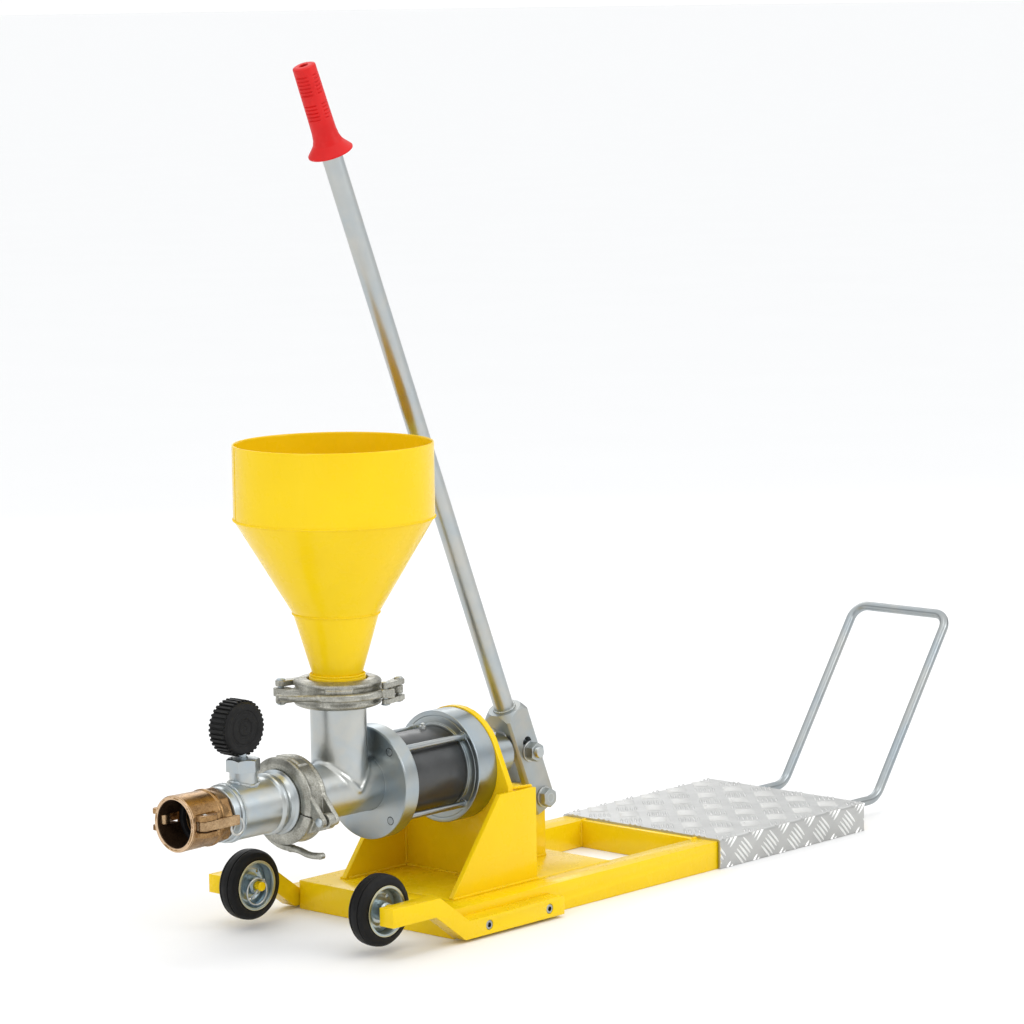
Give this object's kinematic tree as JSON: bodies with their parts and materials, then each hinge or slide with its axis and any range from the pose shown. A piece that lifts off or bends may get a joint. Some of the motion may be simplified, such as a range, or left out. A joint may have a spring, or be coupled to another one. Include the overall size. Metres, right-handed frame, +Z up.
{
  "type": "hand lever grout pump",
  "caption": "Hand lever grout pump: hopper on a tee pipe, piston cylinder with ball valves, gauge and cam lever outlet, on a wheeled frame with a tread plate and tow handle.",
  "frame": {"origin": "on the floor, under the middle of the front cross member of the frame", "axes": "+X towards the tow handle, +Y along the wheel axles, +Z up"},
  "size_m": [1.5668, 0.349, 1.1687],
  "materials": {
    "yellow_paint": "gloss",
    "zinc_plate": "satin zinc plating",
    "bright_steel": "polished",
    "dark_paint": "satin",
    "cast_metal": "rough cast",
    "bronze": "cast bronze",
    "pin_steel": "satin",
    "black_rubber": "matte",
    "tyre_rubber": "matte",
    "red_grip": "satin",
    "tread_metal": "embossed",
    "clear_glass": "clear",
    "black_plastic": "matte",
    "piston_metal": "turned"
  },
  "bodies": {
    "pump": {"front_member": "yellow_paint", "rail_near": "yellow_paint", "rail_far": "yellow_paint", "cross_members": "yellow_paint", "base_plate": "yellow_paint", "bearing_plate": "yellow_paint", "gusset_near": "yellow_paint", "gusset_far": "yellow_paint", "shelf_plate": "yellow_paint", "pivot_lug": "yellow_paint", "wheel_arm_near": "yellow_paint", "wheel_arm_far": "yellow_paint", "hopper_bowl": "yellow_paint", "hopper_spout": "yellow_paint", "rear_flange": "zinc_plate", "front_flange": "zinc_plate", "rod_guide": "zinc_plate", "tee_pipe": "zinc_plate", "outlet_body": "zinc_plate", "arm_screws": "zinc_plate", "wheel_axles": "zinc_plate", "axle_clips": "zinc_plate", "tow_handle": "zinc_plate", "tie_rods": "zinc_plate", "grease_nipples": "zinc_plate", "pivot_bolt": "zinc_plate", "gauge_case": "zinc_plate", "cylinder_tube": "dark_paint", "hopper_clamp_fixed_half": "cast_metal", "outlet_clamp_fixed_half": "cast_metal", "clamp_pins": "cast_metal", "coupler_body": "bronze", "coupler_pins": "pin_steel", "gauge_guard": "black_rubber", "rod_wiper": "black_rubber", "clamp_seals": "black_rubber", "coupler_gasket": "black_rubber", "tread_plate": "tread_metal", "gauge_lens": "clear_glass", "valve_cages": "black_plastic"},
    "lever": {"lever_fork": "zinc_plate", "lever_tube": "zinc_plate", "lever_grip": "red_grip"},
    "piston": {"piston_head": "piston_metal", "piston_seals": "black_rubber", "piston_rod": "bright_steel", "cross_bolt": "zinc_plate"},
    "near_wheel": {"near_tyre": "tyre_rubber", "near_rim": "zinc_plate"},
    "far_wheel": {"far_tyre": "tyre_rubber", "far_rim": "zinc_plate"},
    "hopper_clamp_toggle": {"hopper_clamp_lever": "cast_metal"},
    "hopper_clamp_jaw": {"hopper_clamp_swing_half": "cast_metal"},
    "outlet_clamp_toggle": {"outlet_clamp_lever": "cast_metal"},
    "outlet_clamp_jaw": {"outlet_clamp_swing_half": "cast_metal"},
    "near_cam": {"coupler_lever_near": "bronze"},
    "far_cam": {"coupler_lever_far": "bronze"},
    "inlet_valve": {"inlet_ball": "black_rubber"},
    "outlet_valve": {"outlet_ball": "black_rubber"},
    "pointer": {"gauge_needle": "black_plastic"}
  },
  "joints": [
    {"name": "lever_swing", "type": "hinge", "parent": "pump", "child": "lever", "pos_m": [0.3, 0, 0.128], "axis": [0, 1, 0], "range_deg": [0, 44.4]},
    {"name": "piston_slide", "type": "slide", "parent": "pump", "child": "piston", "axis": [1, 0, 0], "range_m": [0, 0.05733]},
    {"name": "near_wheel_spin", "type": "hinge", "parent": "pump", "child": "near_wheel", "pos_m": [-0.1377, -0.12275, 0.0585], "axis": [0, 1, 0], "continuous": true},
    {"name": "far_wheel_spin", "type": "hinge", "parent": "pump", "child": "far_wheel", "pos_m": [-0.1377, 0.12275, 0.0585], "axis": [0, 1, 0], "continuous": true},
    {"name": "hopper_clamp_toggle_swing", "type": "hinge", "parent": "pump", "child": "hopper_clamp_toggle", "pos_m": [-0.02247, -0.05442, 0.3305], "axis": [0, 0, 1], "range_deg": [0, 110]},
    {"name": "hopper_clamp_jaw_swing", "type": "hinge", "parent": "pump", "child": "hopper_clamp_jaw", "pos_m": [-0.13425, 0.05612, 0.3305], "axis": [0, 0, -1], "range_deg": [0, 11.5]},
    {"name": "outlet_clamp_toggle_swing", "type": "hinge", "parent": "pump", "child": "outlet_clamp_toggle", "pos_m": [-0.1805, 0.07617, 0.22669], "axis": [1, 0, 0], "range_deg": [0, 55]},
    {"name": "outlet_clamp_jaw_swing", "type": "hinge", "parent": "pump", "child": "outlet_clamp_jaw", "pos_m": [-0.1805, -0.07341, 0.17833], "axis": [-1, 0, 0], "range_deg": [0, 5.8]},
    {"name": "near_cam_swing", "type": "hinge", "parent": "pump", "child": "near_cam", "pos_m": [-0.369, -0.04, 0.198], "axis": [0, 0, -1], "range_deg": [0, 110]},
    {"name": "far_cam_swing", "type": "hinge", "parent": "pump", "child": "far_cam", "pos_m": [-0.369, 0.04, 0.198], "axis": [0, 0, 1], "range_deg": [0, 110]},
    {"name": "inlet_ball_lift", "type": "slide", "parent": "pump", "child": "inlet_valve", "axis": [0, 0, 1], "range_m": [0, 0.01]},
    {"name": "outlet_ball_lift", "type": "slide", "parent": "pump", "child": "outlet_valve", "axis": [-1, 0, 0], "range_m": [0, 0.01]},
    {"name": "pointer_turn", "type": "hinge", "parent": "pump", "child": "pointer", "pos_m": [-0.261, 0.016, 0.3053], "axis": [0, -1, 0], "range_deg": [0, 270]}
  ],
  "couplings": [
    {"joint": "piston_slide", "follows": "lever_swing", "m_per_rad": 0.073727},
    {"joint": "hopper_clamp_jaw_swing", "follows": "hopper_clamp_toggle_swing", "ratio": 0.1},
    {"joint": "outlet_clamp_jaw_swing", "follows": "outlet_clamp_toggle_swing", "ratio": 0.1}
  ]
}
